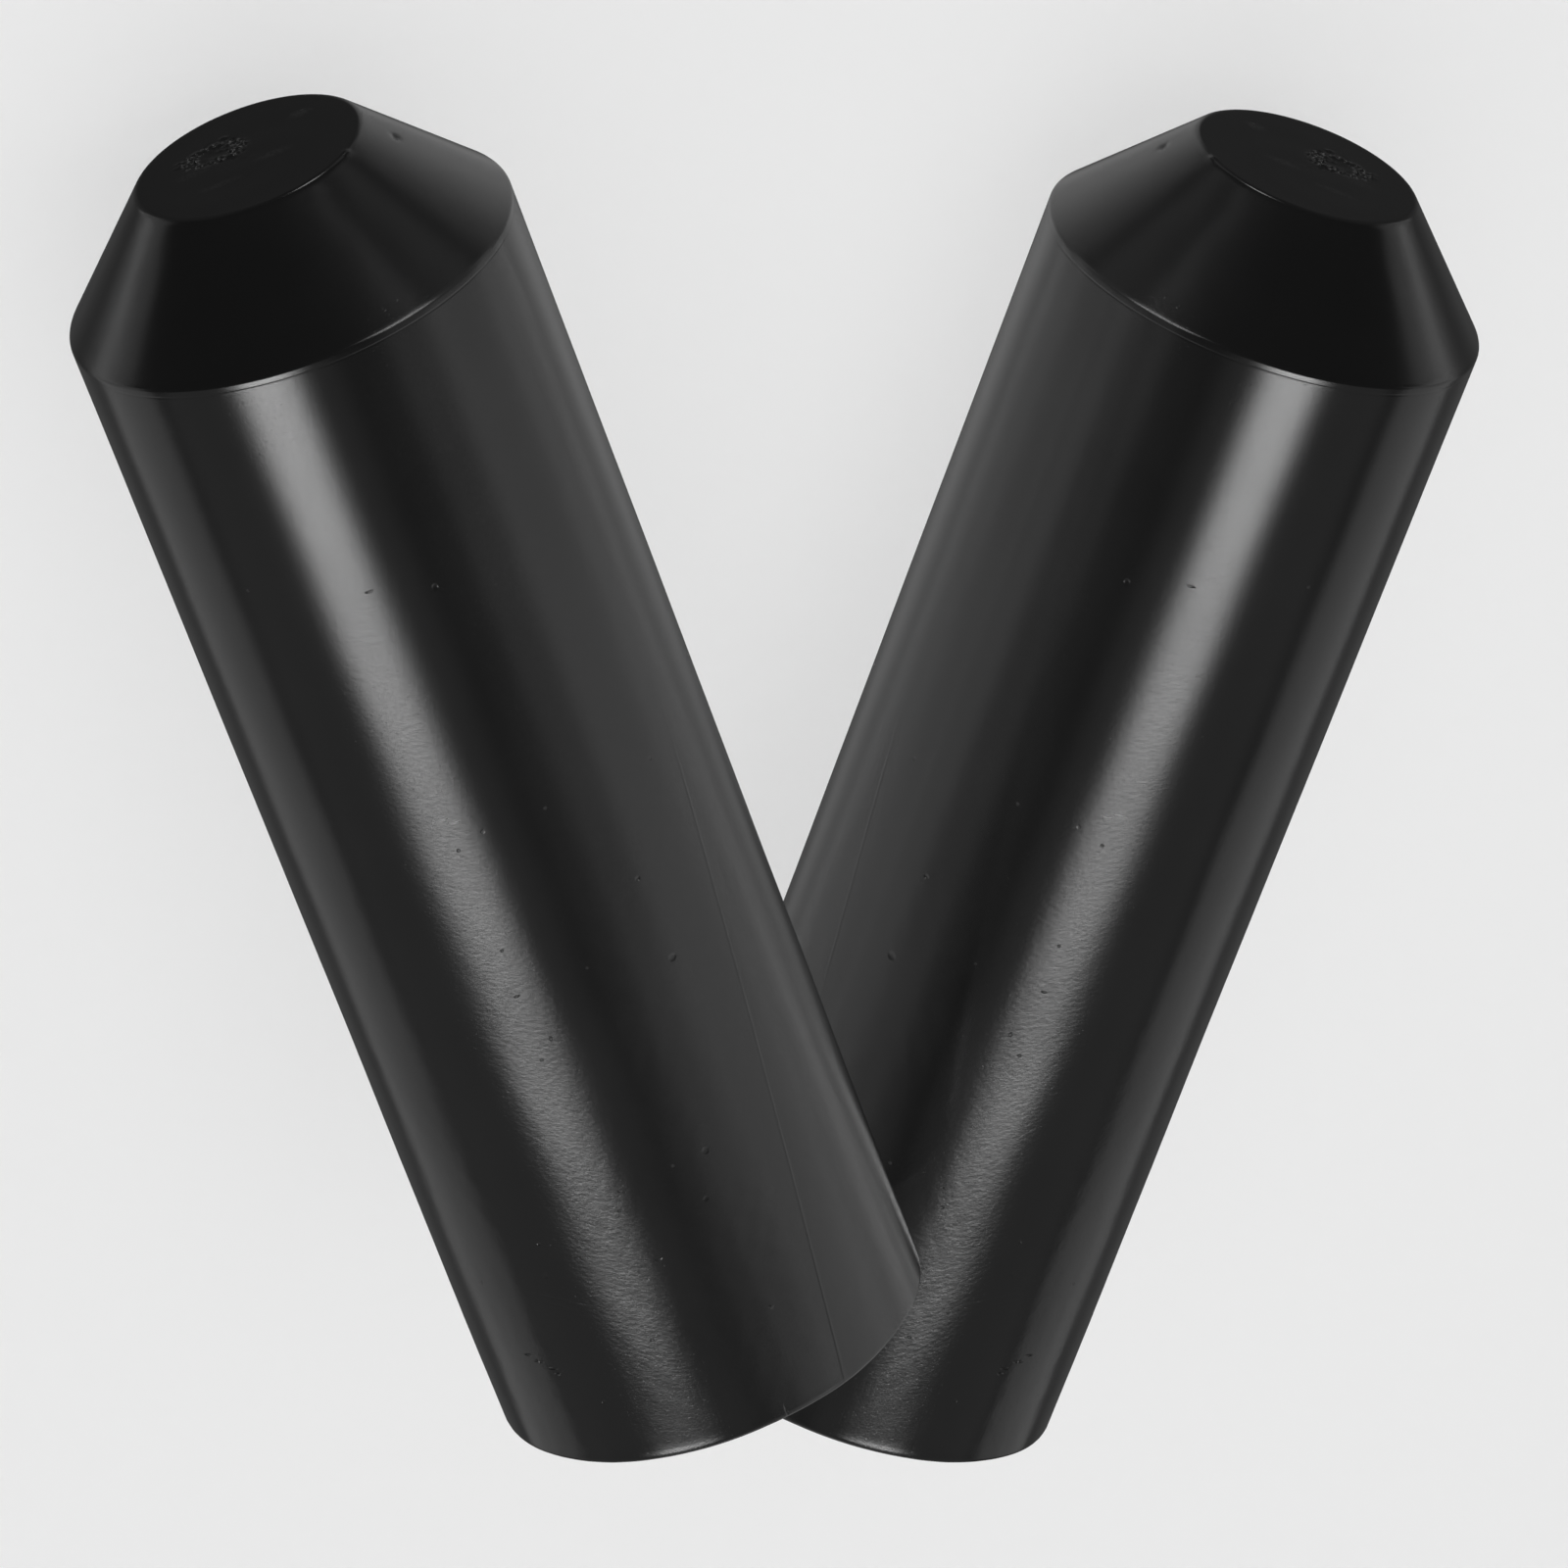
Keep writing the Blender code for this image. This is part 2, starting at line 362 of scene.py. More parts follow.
def shell_faces(rows):
    """Quads between neighbouring rows, and a fan of triangles at each end."""
    tip, end, last = rows * SEGMENTS, rows * SEGMENTS + 1, (rows - 1) * SEGMENTS
    step = np.arange(SEGMENTS)
    after = (step + 1) % SEGMENTS
    faces = []
    for row in range(rows - 1):
        top, bottom = row * SEGMENTS, (row + 1) * SEGMENTS
        faces += np.stack([top + step, bottom + step, bottom + after, top + after], axis=1).tolist()
    faces += [(tip, i, j) for i, j in zip(step.tolist(), after.tolist())]
    faces += [(end, last + j, last + i) for i, j in zip(step.tolist(), after.tolist())]
    return faces


def new_mesh(cap, name, points, faces):
    """A smooth mesh, with its faces turned round where the cap is mirrored."""
    if cap.side < 0:
        faces = [face[::-1] for face in faces]
    mesh = bpy.data.meshes.new(name)
    mesh.from_pydata(points, [], faces)
    mesh.shade_smooth()
    return mesh


def shell_mesh(cap):
    """The moulding, with each point's unmirrored place kept for the material."""
    points = shell_points(cap)
    mesh = new_mesh(cap, cap.name + "_moulding", points.tolist(), shell_faces(len(points) // SEGMENTS))
    place = mesh.attributes.new("place", "FLOAT_VECTOR", "POINT")
    place.data.foreach_set("vector", (points * (1, cap.side, 1)).astype(np.float32).ravel())
    mesh.update()
    return mesh


# ---------------------------------------------------------------- adhesive


def band_section():
    """Points across the band's inner face: how far across, and what share of the thickness is there."""
    section = []
    for i in range(BAND_PARTS_ACROSS + 1):
        t = i / BAND_PARTS_ACROSS
        edge = min(t, 1 - t) * BAND_WIDTH
        crown = math.sqrt(max(0.0, 1 - (1 - min(edge / BAND_EDGE_ROUND, 1)) ** 2))
        section.append((t, BAND_EDGE_SHARE + (1 - BAND_EDGE_SHARE) * crown))
    return section


def band_points(cap, steps):
    """The band's rings of points along the helix, with slightly wandering edges and thin ends."""
    along = np.arange(steps + 1) / BAND_STEPS_PER_TURN
    angle = along * math.tau
    rise = BAND_START + along * BAND_PITCH
    wander = 0.25 * MM * np.sin(3.1 * angle) + 0.15 * MM * np.sin(7.7 * angle + 1)
    taper = np.clip(np.minimum(along, BAND_TURNS - along) * 14 + 0.35, 0, 1)
    section = band_section()
    points = []
    for k in range(steps + 1):
        ring = [(BAND_OUTER - BAND_THICKNESS * fullness * taper[k], t) for t, fullness in section]
        for radius, t in ring + [(BAND_OUTER, 1.0), (BAND_OUTER, 0.0)]:
            z = rise[k] + t * BAND_WIDTH + wander[k] * (1 - abs(2 * t - 1) * 0.6)
            points.append((radius * math.cos(angle[k]), cap.side * radius * math.sin(angle[k]), z))
    return points


def band_mesh(cap):
    """The adhesive: a helical band, closed at both ends."""
    steps = round(BAND_TURNS * BAND_STEPS_PER_TURN)
    size = BAND_PARTS_ACROSS + 3
    faces = []
    for k in range(steps):
        for i in range(size):
            j = (i + 1) % size
            a, b = k * size, (k + 1) * size
            faces.append((a + i, a + j, b + j, b + i))
    faces.append(tuple(reversed(range(size))))
    faces.append(tuple(steps * size + i for i in range(size)))
    mesh = new_mesh(cap, cap.name + "_lining", band_points(cap, steps), faces)
    mesh.set_sharp_from_angle(angle=BAND_SHARP_ANGLE)
    mesh.update()
    return mesh


# ---------------------------------------------------------------- materials


class Nodes:
    """A short way to write a material's node tree."""

    def __init__(self, name):
        self.material = bpy.data.materials.new(name)
        self.material.use_nodes = True
        self.tree = self.material.node_tree
        self.shader = self.tree.nodes["Principled BSDF"]

    def add(self, kind, inputs=(), **settings):
        node = self.tree.nodes.new(kind)
        for key, value in settings.items():
            setattr(node, key, value)
        for key, value in dict(inputs).items():
            self.feed(node.inputs[key], value)
        return node

    def feed(self, socket, value):
        if isinstance(value, bpy.types.NodeSocket):
            self.tree.links.new(value, socket)
        else:
            socket.default_value = value

    def math(self, operation, a, b=0.0, c=0.0):
        return self.add("ShaderNodeMath", {0: a, 1: b, 2: c}, operation=operation).outputs[0]

    def ramp(self, value, low, high, out_low=0.0, out_high=1.0):
        """Smoothly from out_low to out_high while value goes from low to high."""
        node = self.add("ShaderNodeMapRange", {"Value": value}, interpolation_type="SMOOTHSTEP")
        for key, number in zip(("From Min", "From Max", "To Min", "To Max"), (low, high, out_low, out_high)):
            node.inputs[key].default_value = number
        return node.outputs["Result"]

    def noise(self, vector, scale, detail=2.0, roughness=0.5):
        inputs = {"Vector": vector, "Scale": scale, "Detail": detail, "Roughness": roughness}
        return self.add("ShaderNodeTexNoise", inputs).outputs["Fac"]

    def wave(self, vector, scale, detail, roughness=0.5):
        """Noise about zero."""
        return self.math("SUBTRACT", self.noise(vector, scale, detail, roughness), 0.5)

    def dots(self, vector, scale, channel, threshold, far, near):
        """Soft dots in the middle of the random cells whose colour channel is above the threshold."""
        cells = self.add("ShaderNodeTexVoronoi", {"Vector": vector, "Scale": scale}, feature="F1")
        colour = self.add("ShaderNodeSeparateColor", {0: cells.outputs["Color"]})
        chosen = self.math("GREATER_THAN", colour.outputs[channel], threshold)
        return self.times(self.ramp(cells.outputs["Distance"], far, near), chosen)

    def times(self, a, b):
        return self.math("MULTIPLY", a, b)

    def distance(self, a, b):
        """How far one number is from another."""
        return self.math("ABSOLUTE", self.math("SUBTRACT", a, b))

    def length(self, a, b):
        return self.math("SQRT", self.math("MULTIPLY_ADD", a, a, self.times(b, b)))

    def join(self, x, y, z):
        return self.add("ShaderNodeCombineXYZ", {"X": x, "Y": y, "Z": z}).outputs[0]

    def spot(self, u, v, centre_u, centre_v, half_u, half_v):
        """The squared distance from a spot's centre, where 1 is the edge of its ellipse."""
        du = self.math("MULTIPLY_ADD", u, 1 / half_u, -centre_u / half_u)
        dv = self.math("MULTIPLY_ADD", v, 1 / half_v, -centre_v / half_v)
        return self.math("MULTIPLY_ADD", du, du, self.times(dv, dv))

    def total(self, values):
        result = values[0]
        for value in values[1:]:
            result = self.math("ADD", result, value)
        return result


# Marks on the sleeve: azimuth in degrees, height in mm, half size round it and along it in mm, and
# height in hundredths of a millimetre.
MARKS = [
    (25.3, 57.5, 0.24, 0.22, -9),
    (26.5, 48.5, 0.36, 0.36, -4),
    (-14.5, 67.6, 0.16, 0.14, -6),
    (-13.6, 56.4, 0.14, 0.14, -6),
    (-14.4, 51.4, 0.26, 0.12, -7),
    (-10.3, 46.2, 0.14, 0.24, -8),
    (-14.5, 44.3, 0.16, 0.14, -8),
    (-8.3, 28.9, 0.16, 0.14, -5),
    (-10.2, 26.9, 0.15, 0.17, -5),
    (-5.4, 20.8, 0.32, 0.18, -2.2),
    (-14.6, 12.8, 0.19, 0.16, -5.5),
    (15.8, 29.2, 0.30, 0.34, -1.6),
    (11.4, 24.7, 0.24, 0.24, -1.2),
    (17.2, 11.3, 0.20, 0.20, 13),
    (-34.3, 25.0, 0.16, 0.16, -3),
    (-36.2, 21.4, 0.26, 0.26, -3),
    (-11.3, 95.6, 0.36, 0.12, -4),
    (4.1, 93.8, 0.26, 0.30, -4),
    (-52.5, 12.1, 0.45, 0.13, -9),
    (-50.2, 11.5, 0.40, 0.13, 7),
    (-48.6, 11.5, 0.35, 0.13, -8),
    (-45.4, 10.8, 0.50, 0.12, -9),
    (-44.6, 10.2, 0.30, 0.14, 7),
    (-33.8, 7.0, 0.20, 0.16, -2.5),
    (10.8, 0.5, 0.12, 0.80, -5),
]

# Streaks painted pale as highlights, where two smooth spots of the sleeve catch the light: azimuth in
# degrees, height in mm, and half sizes round the sleeve and along it in mm.
GLINT_STREAKS = [
    (-15.9, 71.1, 0.60, 0.13),
    (-13.0, 70.5, 0.50, 0.12),
]

# Fine scratches: azimuth in degrees and height in mm of each end, half width in mm, and height in
# hundredths of a millimetre.
SCRATCHES = [
    (-43.0, 19.6, -25.5, 17.7, 0.09, -1.6),
    (-41.5, 18.7, -28.0, 17.0, 0.08, -1.2),
]

# Faint rubbed smudges on the tip face: the middle of each (x, y), its half width along y and along x,
# in mm, and its strength.
SMUDGES = [
    (3.5, -3.3, 2.0, 0.5, 0.10),
    (1.3, 2.2, 1.8, 0.6, 0.12),
    (-4.8, 5.9, 1.1, 0.7, 0.16),
    (-0.6, -5.5, 1.5, 0.6, 0.08),
]

# Orange peel: its slant round the sleeve, its squeeze along it, and its height. The grain is finer still.
PEEL_SLANT = 0.42
PEEL_SQUEEZE = 1.4
PEEL_SCALE = 2000
PEEL_HEIGHT = 0.008 * MM
BUBBLE_SCALE = 1150.0
BUBBLE_SHARE = -0.3
GRAIN_SCALE = 5200
GRAIN_HEIGHT = 0.0025 * MM
GRAIN_GAIN = 0.003 * MM

# Pits, and drag lines at the mouth: how many there are in a metre round the sleeve and along it.
PITS_AROUND, PITS_ALONG = 2600, 5200
PIT_HEIGHT = -0.006 * MM
DRAGS_AROUND, DRAGS_ALONG = 3200, 120
DRAG_HEIGHT = 0.006 * MM

# The faint line below the shoulder.
LEDGE_Z = SHOULDER_Z - 0.75 * MM
LEDGE_WIDTH = 0.16 * MM
LEDGE_HEIGHT = -0.011 * MM

# The parting line: its azimuth at the mouth, how that changes with height, and its size.
SEAM_AZIMUTH = math.radians(28.6)
SEAM_TURN = math.radians(0.355) / MM
SEAM_WIDTH = 0.22 * MM
SEAM_HEIGHT = 0.022 * MM

SPECK_HEIGHT = -0.012 * MM
MARK_HEIGHT_UNIT = 0.01 * MM

# The polymer's darkest and palest grey, and how much paler are its dust specks, its streaks painted as
# highlights, and the tip face's painted highlights round the gate scar with its rubbed smudges.
POLYMER_TONES = (0.0062, 0.0078)
SPECK_TONE = 0.012
GLINT_TONE = 0.10
GLINT_AND_SMUDGE_TONE = 0.11
POLYMER_IOR = 1.5


def tip_glints_and_smudges(n, x, y, z):
    """How pale the tip face is painted: strong painted highlights in grains round the gate scar, where its
    crumbs catch the light, and faint rubbed smudges.
    """
    on_face = n.ramp(z, CAP_LENGTH - 0.4 * MM, CAP_LENGTH - 0.1 * MM)
    fine = n.noise(n.join(x, y, 0.0), 2600, 2.0, 0.6)
    dx = n.times(n.math("SUBTRACT", x, SCAR_CENTRE[0]), SCAR_SQUASH)
    off_ring = n.distance(n.length(dx, n.math("SUBTRACT", y, SCAR_CENTRE[1])), SCAR_RADIUS)
    # The grains round the gate scar are a painted highlight of its crumbs catching the light; the smudges
    # are faint rubbed marks.
    glints_and_smudges = [n.times(n.ramp(off_ring, 1.3 * MM, 0.1 * MM), n.ramp(fine, 0.50, 0.68))]
    for centre_x, centre_y, width, depth, strength in SMUDGES:
        square = n.spot(x, y, centre_x * MM, centre_y * MM, depth * MM, width * MM)
        smudge = n.times(n.ramp(square, 1.8, 0.0), n.ramp(fine, 0.35, 0.6))
        glints_and_smudges.append(n.times(smudge, strength))
    return n.times(n.total(glints_and_smudges), on_face)


def orange_peel(n, place, azimuth, z):
    """Peel with small bubbles: deeper towards the mouth, calm at the very end and on one side."""
    depth = n.total([n.ramp(z, 112 * MM, 72 * MM, 0.2, 0.5), n.ramp(z, 80 * MM, 22 * MM, 0.0, 0.5)])
    depth = n.times(depth, n.ramp(z, 2 * MM, 13 * MM, 0.3, 1.0))
    depth = n.times(depth, n.ramp(azimuth, math.radians(12), math.radians(-8), 0.1, 1.0))
    bubbles = n.dots(place, BUBBLE_SCALE, 1, 0.65, 0.24, 0.06)
    peel = n.math("MULTIPLY_ADD", bubbles, BUBBLE_SHARE, n.wave(place, PEEL_SCALE, 0.3))
    return n.times(peel, n.times(depth, PEEL_HEIGHT))


def pits_and_drags(n, around, z):
    """Fine pits everywhere on the sleeve, and lines along it near the mouth, where it was stretched."""
    pit_place = n.join(n.times(around, PITS_AROUND), n.times(z, PITS_ALONG), 0.0)
    pits = n.ramp(n.noise(pit_place, 1.0, 1.0), 0.66, 0.80, 0.0, PIT_HEIGHT)
    drag_place = n.join(n.times(around, DRAGS_AROUND), n.times(z, DRAGS_ALONG), 0.0)
    drags = n.times(n.wave(drag_place, 1.0, 2.0), n.ramp(z, 14 * MM, 3 * MM, 0.0, DRAG_HEIGHT))
    return [pits, drags]


def seam_line(n, azimuth, z):
    """The parting line, a low ridge that fades out above the middle of the sleeve."""
    off_seam = n.distance(azimuth, n.math("MULTIPLY_ADD", z, SEAM_TURN, SEAM_AZIMUTH))
    ridge = n.ramp(n.times(off_seam, SLEEVE_LOW_RADIUS), SEAM_WIDTH, 0.02 * MM)
    return n.times(ridge, n.ramp(z, 73 * MM, 60 * MM, 0.0, SEAM_HEIGHT))


def sleeve_spot(n, around, z, degrees, height, width, length):
    centre = math.radians(degrees) * SLEEVE_LOW_RADIUS
    return n.spot(around, z, centre, height * MM, width * MM, length * MM)


def scratch(n, around, z, start, start_z, end, end_z, width, depth):
    """A straight groove between two points of the sleeve, with faded ends."""
    run, rise = math.radians(end - start) * SLEEVE_LOW_RADIUS, (end_z - start_z) * MM
    length = math.hypot(run, rise)
    dx = n.math("SUBTRACT", around, math.radians(start) * SLEEVE_LOW_RADIUS)
    dz = n.math("SUBTRACT", z, start_z * MM)
    along = n.math("MULTIPLY_ADD", dx, run / length, n.times(dz, rise / length))
    beside = n.math("MULTIPLY_ADD", dx, -rise / length, n.times(dz, run / length))
    inside = n.math("SUBTRACT", length / 2, n.distance(along, length / 2))
    groove = n.ramp(n.math("ABSOLUTE", beside), width * 2 * MM, 0.0, 0.0, depth * MARK_HEIGHT_UNIT)
    return n.times(groove, n.ramp(inside, 0.0, 2 * MM))


def sleeve_marks(n, around, z):
    """The heights of all the marks and scratches."""
    marks = []
    for degrees, height, width, length, depth in MARKS:
        square = sleeve_spot(n, around, z, degrees, height, width, length)
        marks.append(n.ramp(square, 1.7, 0.0, 0.0, depth * MARK_HEIGHT_UNIT))
    return marks + [scratch(n, around, z, *row) for row in SCRATCHES]


def polymer_material():
    """Black cross-linked polyolefin: satin, with an orange peel that grows towards the mouth."""
    n = Nodes("cap_polymer")
    place = n.add("ShaderNodeAttribute", attribute_name="place").outputs["Vector"]
    x, y, z = n.add("ShaderNodeSeparateXYZ", {0: place}).outputs
    azimuth = n.math("ARCTAN2", y, x)
    around = n.times(azimuth, SLEEVE_LOW_RADIUS)
    speck = n.dots(place, 380.0, 0, 0.955, 0.10, 0.03)

    slanted = n.math("MULTIPLY_ADD", y, PEEL_SLANT, z)
    peel_place = n.join(x, y, n.times(slanted, PEEL_SQUEEZE))
    ledge = n.ramp(n.distance(z, LEDGE_Z), LEDGE_WIDTH, 0.0, 0.0, LEDGE_HEIGHT)
    heights = [orange_peel(n, peel_place, azimuth, z), *pits_and_drags(n, around, z), ledge]
    heights += [seam_line(n, azimuth, z), *sleeve_marks(n, around, z)]
    on_outside = n.ramp(n.length(x, y), 19.9 * MM, 20.3 * MM)
    grain_height = n.math("MULTIPLY_ADD", n.ramp(z, 95 * MM, 18 * MM), GRAIN_GAIN, GRAIN_HEIGHT)
    grain = n.times(n.wave(peel_place, GRAIN_SCALE, 2.0, 0.6), grain_height)
    height = n.total([n.times(n.total(heights), on_outside), grain, n.times(speck, SPECK_HEIGHT)])
    bump = n.add("ShaderNodeBump", {"Height": height, "Distance": 1.0, "Strength": 1.0})
    n.feed(n.shader.inputs["Normal"], bump.outputs["Normal"])

    patch = n.noise(place, 60, 3.0, 0.6)
    # Painted highlights round the gate scar, and faint rubbed smudges, on the tip face.
    scar_glints_and_smudges = tip_glints_and_smudges(n, x, y, z)
    roughness = n.math("MULTIPLY_ADD", patch, 0.04, n.ramp(z, 5 * MM, 20 * MM, 0.09, 0.14))
    roughness = n.math("MULTIPLY_ADD", speck, 0.2, roughness)
    n.feed(n.shader.inputs["Roughness"], n.math("MULTIPLY_ADD", scar_glints_and_smudges, 0.2, roughness))

    # Two streaks painted paler: painted highlights where smooth spots of the sleeve catch the light.
    glint_streaks = n.total([n.ramp(sleeve_spot(n, around, z, *row), 1.6, 0.0) for row in GLINT_STREAKS])
    tone = n.ramp(patch, 0.3, 0.7, *POLYMER_TONES)
    # Paler in the dust specks, in painted highlights on the streaks and round the gate scar, and in the
    # tip's faint rubbed smudges.
    for paler, amount in ((speck, SPECK_TONE), (glint_streaks, GLINT_TONE), (scar_glints_and_smudges, GLINT_AND_SMUDGE_TONE)):
        tone = n.math("MULTIPLY_ADD", paler, amount, tone)
    n.feed(n.shader.inputs["Base Color"], n.join(tone, tone, tone))
    n.shader.inputs["IOR"].default_value = POLYMER_IOR
    return n.material


# The adhesive's two colours, the height of its bumps, and how much light goes into it and how far.
ADHESIVE_DARK = (0.30, 0.16, 0.045, 1)
ADHESIVE_PALE = (0.52, 0.31, 0.10, 1)
ADHESIVE_WAVE_HEIGHT = 0.02 * MM
ADHESIVE_GLOW = 0.15
ADHESIVE_GLOW_SCALE = 2.0 * MM


def adhesive_material():
    """Amber hot-melt: waxy, slightly translucent, with faint clouds."""
    n = Nodes("hot_melt_adhesive")
    place = n.add("ShaderNodeTexCoord").outputs["Object"]
    cloud = n.noise(place, 260, 3.0, 0.6)
    ramp = n.add("ShaderNodeValToRGB", {"Fac": cloud})
    ramp.color_ramp.elements[0].color = ADHESIVE_DARK
    ramp.color_ramp.elements[1].color = ADHESIVE_PALE
    n.feed(n.shader.inputs["Base Color"], ramp.outputs["Color"])
    n.feed(n.shader.inputs["Roughness"], n.ramp(cloud, 0.2, 0.8, 0.34, 0.5))
    height = n.times(n.noise(place, 1400, 2.0), ADHESIVE_WAVE_HEIGHT)
    bump = n.add("ShaderNodeBump", {"Height": height, "Distance": 1.0})
    n.feed(n.shader.inputs["Normal"], bump.outputs["Normal"])
    n.shader.inputs["Subsurface Weight"].default_value = ADHESIVE_GLOW
    n.shader.inputs["Subsurface Scale"].default_value = ADHESIVE_GLOW_SCALE
    return n.material


def floor_material():
    """Matt and pale, with no gloss."""
    n = Nodes("pale_floor")
    n.shader.inputs["Base Color"].default_value = (FLOOR_ALBEDO, FLOOR_ALBEDO, FLOOR_ALBEDO, 1)
    n.shader.inputs["Roughness"].default_value = 0.9
    n.shader.inputs["Specular IOR Level"].default_value = 0.0
    return n.material


# ---------------------------------------------------------------- pieces and stage


def add_piece(cap, name, mesh, material, node):
    """Puts a mesh made in the cap's frame in its place, riding the cap's body."""
    piece = bpy.data.objects.new(name, mesh)
    bpy.context.scene.collection.objects.link(piece)
    mesh.materials.append(material)
    mesh.transform(cap.matrix())
    mesh.update()
    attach(piece, cap.name)
    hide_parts(node)
    cap.objects.append(piece)


def add_floor():
    """A wide sheet that the camera sees, but the caps neither reflect nor take light from."""
    mesh = bpy.data.meshes.new("floor")
    corners = [(x * FLOOR_REACH, y * FLOOR_REACH, 0) for x, y in ((-1, -1), (1, -1), (1, 1), (-1, 1))]
    mesh.from_pydata(corners, [], [(0, 1, 2, 3)])
    floor = bpy.data.objects.new("floor", mesh)
    bpy.context.scene.collection.objects.link(floor)
    mesh.materials.append(floor_material())
    floor.visible_glossy = False
    floor.visible_diffuse = False
    floor.visible_shadow = False
    return floor


# ---------------------------------------------------------------- light

# How far the panels stand from the middle of their cap.
LAMP_DISTANCE = 1.5

# Soft panels round each cap, by the direction they come from in its frame: azimuth and elevation of
# their middle, angular width and height, all in degrees, radiance, and how far the light takes to fade by
# a factor of e beyond its sides and beyond its ends, in degrees.
PANELS = {
    "key_strip": (-32.1, -17.8, 25.0, 12.9, 11.1, 2.5, 2),
    "key_halo": (-43.3, -49.0, 85.5, 80.8, 0.204, 3, 3),
    "side_card": (-114.8, -4.9, 37.7, 56.5, 0.445, 1.3, 1.5),
    "side_core": (-130.5, 28.1, 33.0, 28.0, 0.4, 1, 2),
    "edge_card": (-149.2, 18.7, 35.2, 100.0, 0.0369, 1.5, 1.5),
    "fill_low": (88.3, -70.4, 78.3, 95.1, 0.571, 3, 3),
    "fill_far": (137.1, 8.7, 25.9, 100.0, 0.221, 3, 3),
    "fill_high": (65.9, -1.9, 70.5, 100.0, 0.268, 3, 3),
    "fill_wide": (130.1, 4.3, 78.2, 60.3, 0.329, 3, 3),
    "low_front": (32.0, -35.3, 29.8, 12.4, 0.634, 3, 2.5),
    "edge_strip": (42.5, 31.3, 28.7, 38.2, 3.26, 1.5, 1.5),
    "rim_spot": (134.0, 69.7, 8.1, 9.2, 6.98, 0.75, 0.75),
}
# How many of those fading lengths a panel reaches beyond its stated size.
FADE_REACH = 3.5

# The lean towards the camera that the panels' elevations are given for.
PANEL_LEAN = math.radians(24.9)

# The floor: its colour and reach, and its two lamps' radiance, distance and side.
FLOOR_ALBEDO = 0.9
FLOOR_REACH = 6.0
FLOOR_WASH, WASH_DISTANCE, WASH_SIDE = 0.93, 3.0, 10.0
FLOOR_SHADED, SHADED_DISTANCE, SHADED_SIDE = 0.32, 2.2, 3.0
SHADED_FROM = Vector((-0.25, -0.1, 1.0))

# The strength of the light from all round, and of the backdrop past the floor.
SKY_LIGHT = 0.0786
SKY_SEEN = 0.93


def linked_light(name, receivers):
    """A light collection that holds only these objects."""
    collection = bpy.data.collections.new(name)
    for item in receivers:
        collection.objects.link(item)
    return collection


def add_panel(name, centre, towards, up, distance, width, height, radiance, receivers, blockers):
    """A flat lamp that faces the centre, lights only the receivers and is shaded only by the blockers."""
    data = bpy.data.lights.new(name, "AREA")
    data.shape = "RECTANGLE"
    data.size, data.size_y = width, height
    data.energy = radiance * math.pi * width * height
    lamp = bpy.data.objects.new(name, data)
    bpy.context.scene.collection.objects.link(lamp)
    back = towards.normalized()
    side = up.cross(back).normalized()
    turn = Matrix((side, back.cross(side), back)).transposed()
    lamp.matrix_world = Matrix.Translation(centre + back * distance) @ turn.to_4x4()
    lamp.light_linking.receiver_collection = receivers
    lamp.light_linking.blocker_collection = blockers
    lamp.visible_camera = False
    return lamp


def soften(data, spans, fades):
    """Makes an area light fade smoothly across the edges of a smaller panel, which is this span."""
    data.use_nodes = True
    tree = data.node_tree

    def math_node(operation, *values):
        node = tree.nodes.new("ShaderNodeMath")
        node.operation = operation
        for socket, value in zip(node.inputs, values):
            if isinstance(value, bpy.types.NodeSocket):
                tree.links.new(value, socket)
            else:
                socket.default_value = value
        return node.outputs[0]

    split = tree.nodes.new("ShaderNodeSeparateXYZ")
    tree.links.new(tree.nodes.new("ShaderNodeNewGeometry").outputs["Parametric"], split.inputs[0])
    level = 1.0
    for place, size, span, fade in zip(split.outputs, (data.size, data.size_y), spans, fades):
        off_centre = math_node("ABSOLUTE", math_node("SUBTRACT", place, 0.5))
        beyond = math_node("MULTIPLY_ADD", off_centre, size / fade, -span / 2 / fade)
        edge = math_node("DIVIDE", 1.0, math_node("ADD", math_node("EXPONENT", beyond), 1.0))
        level = math_node("MULTIPLY", edge, level)
    tree.links.new(level, tree.nodes["Emission"].inputs["Strength"])


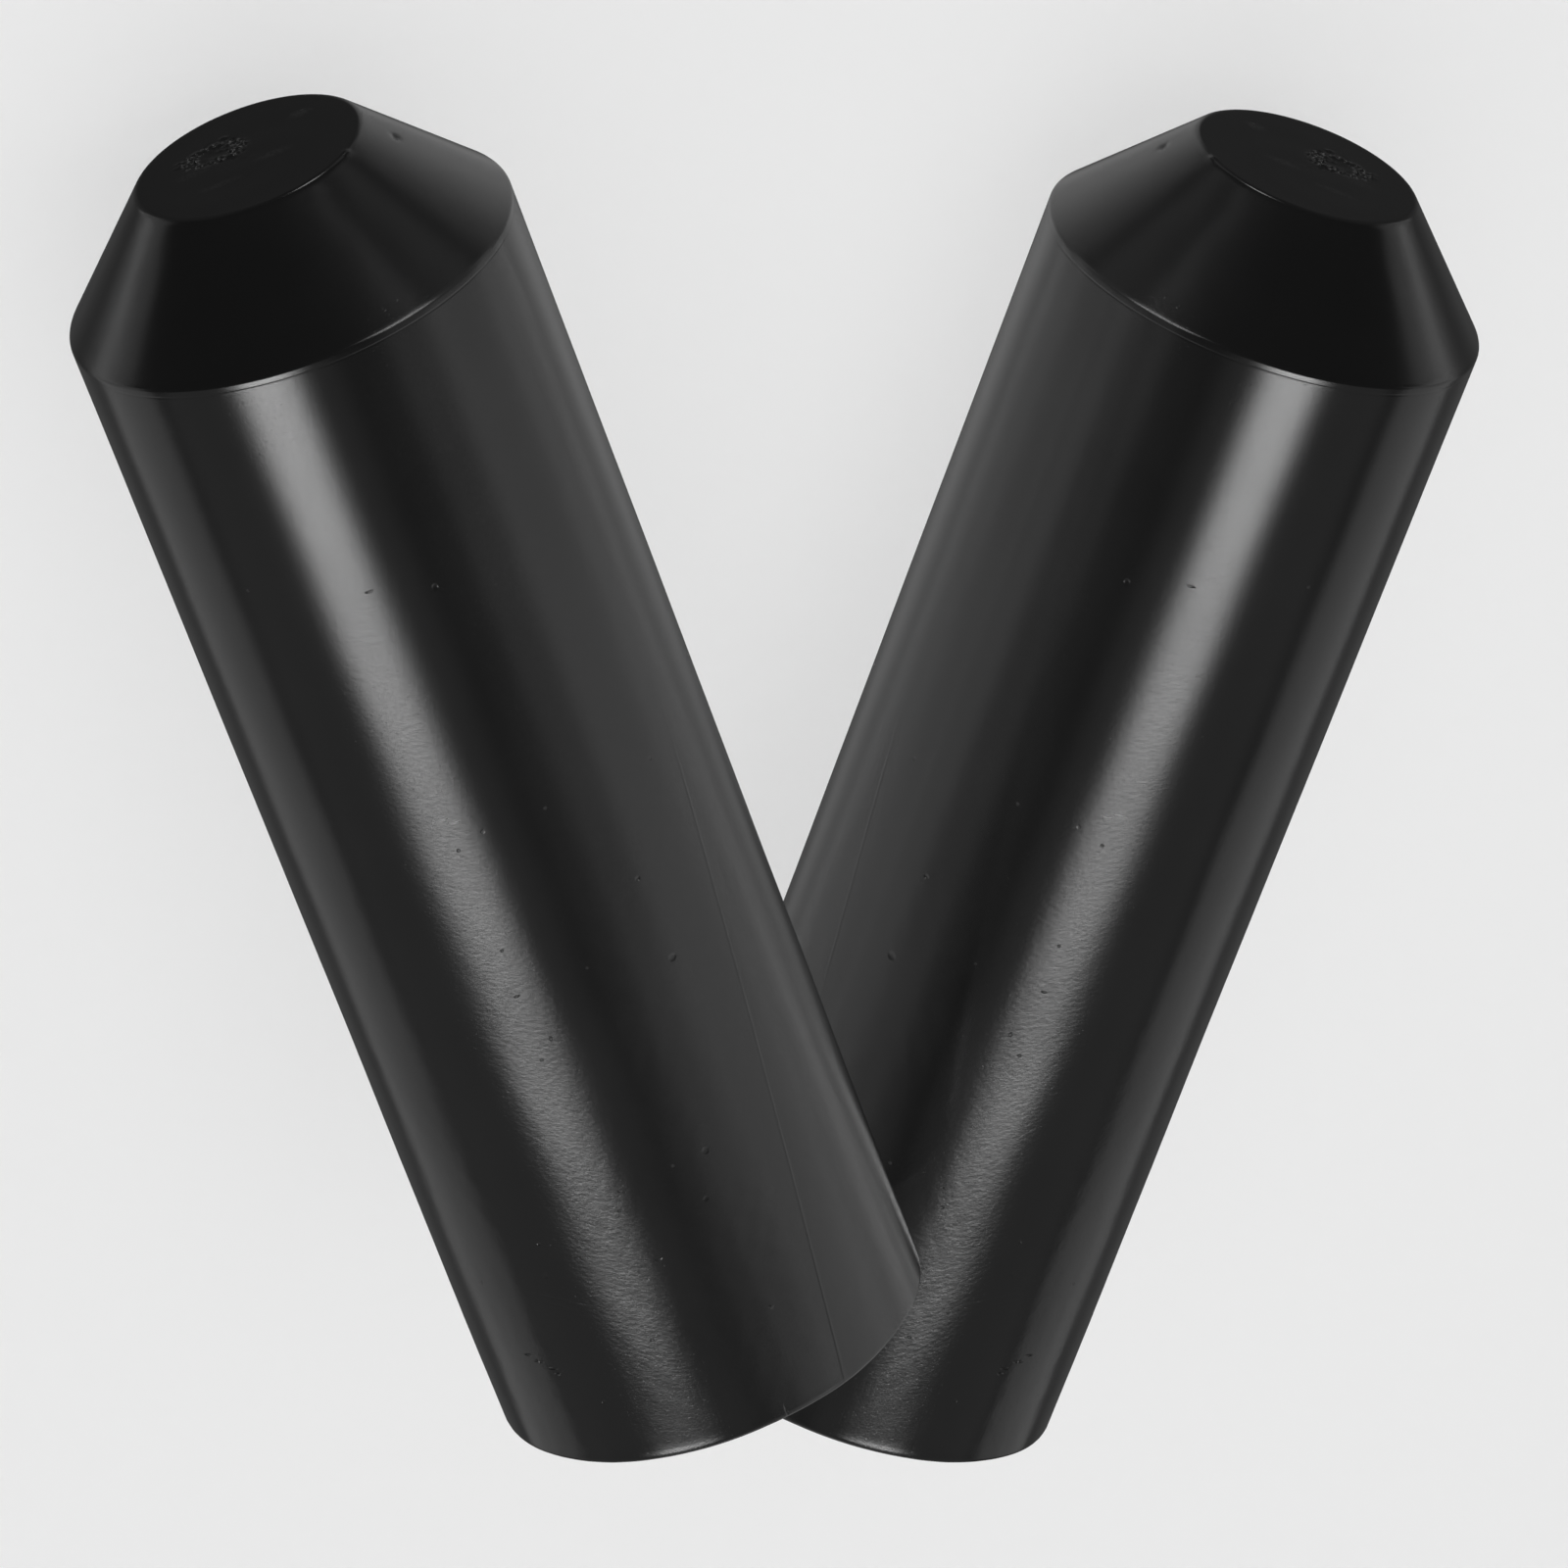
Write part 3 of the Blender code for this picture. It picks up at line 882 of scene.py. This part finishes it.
def light_cap(cap):
    """Hangs every panel round one cap, which alone they light."""
    own = linked_light(cap.name + "_lit", cap.objects)
    centre = cap.mouth + cap.axis * CAP_LENGTH / 2
    for name, (azimuth, elevation, width, height, radiance, *fades) in PANELS.items():
        towards = cap.direction(math.radians(azimuth), math.radians(elevation) + PANEL_LEAN - cap.lean)
        spans = [2 * LAMP_DISTANCE * math.tan(math.radians(angle) / 2) for angle in (width, height)]
        fades = [LAMP_DISTANCE * math.radians(fade) for fade in fades]
        sizes = [span + 2 * FADE_REACH * fade for span, fade in zip(spans, fades)]
        full_name = f"{cap.name}_{name}"
        lamp = add_panel(full_name, centre, towards, cap.axis, LAMP_DISTANCE, *sizes, radiance, own, own)
        soften(lamp.data, spans, fades)


def light_floor(floor, caps):
    """A wide wash that casts no shadow, and a smaller lamp whose soft shadow grounds the caps."""
    itself = linked_light("floor_lit", [floor])
    shades = linked_light("floor_shades", [item for cap in caps for item in cap.objects])
    middle, above, along = Vector(), Vector((0, 0, 1)), Vector((0, 1, 0))
    wash = (WASH_DISTANCE, WASH_SIDE, WASH_SIDE, FLOOR_WASH)
    shaded = (SHADED_DISTANCE, SHADED_SIDE, SHADED_SIDE, FLOOR_SHADED)
    add_panel("floor_wash", middle, above, along, *wash, itself, itself)
    add_panel("floor_lamp", middle, SHADED_FROM, along, *shaded, itself, shades)


def set_world():
    """Dim light from all round, with a backdrop as pale as the floor where the camera sees past it."""
    world = bpy.data.worlds.new("studio")
    bpy.context.scene.world = world
    world.use_nodes = True
    tree = world.node_tree
    background = tree.nodes["Background"]
    background.inputs["Color"].default_value = (1, 1, 1, 1)
    seen = tree.nodes.new("ShaderNodeLightPath").outputs["Is Camera Ray"]
    level = tree.nodes.new("ShaderNodeMapRange")
    level.inputs["To Min"].default_value = SKY_LIGHT
    level.inputs["To Max"].default_value = SKY_SEEN
    tree.links.new(seen, level.inputs["Value"])
    tree.links.new(level.outputs["Result"], background.inputs["Strength"])


# ---------------------------------------------------------------- build

camera = place_camera()
caps = [Cap("upper_cap", 1, camera.location), Cap("lower_cap", -1, camera.location)]
polymer = polymer_material()
adhesive = adhesive_material()
for cap in caps:
    add_piece(cap, cap.name + "_moulding", shell_mesh(cap), polymer, cap.name + "_shell")
    add_piece(cap, cap.name + "_lining", band_mesh(cap), adhesive, cap.name + "_adhesive")
floor = add_floor()
for cap in caps:
    light_cap(cap)
light_floor(floor, caps)
set_world()
bpy.context.scene.view_settings.view_transform = "Standard"
